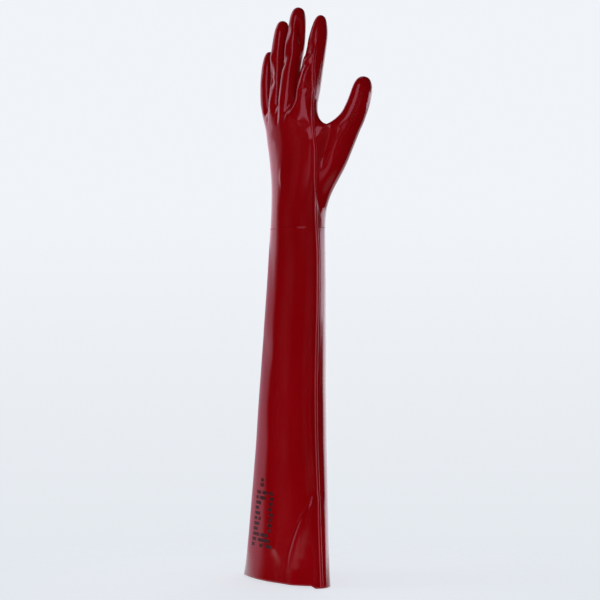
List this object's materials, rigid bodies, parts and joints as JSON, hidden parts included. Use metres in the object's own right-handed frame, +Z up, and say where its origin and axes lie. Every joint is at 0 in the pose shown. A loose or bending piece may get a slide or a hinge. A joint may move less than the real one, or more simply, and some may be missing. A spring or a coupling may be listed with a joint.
{
  "type": "pvc coated work glove",
  "caption": "Long PVC coated work glove for the left hand, a gauntlet with a flared sleeve that reaches up the arm.",
  "frame": {"origin": "middle of the sleeve's mouth, level with its cut edge, where the arm goes in", "axes": "+Z up the arm from the mouth to the fingertips, +X towards the thumb side, +Y out of the palm, -Y out of the back of the hand"},
  "size_m": [0.1744, 0.0819, 0.6003],
  "materials": {
    "red_pvc": "glossy smooth dipped PVC, deep red, with a soft cotton knit on the inside"
  },
  "bodies": {
    "root": {"glove_skin": "red_pvc"}
  },
  "joints": []
}
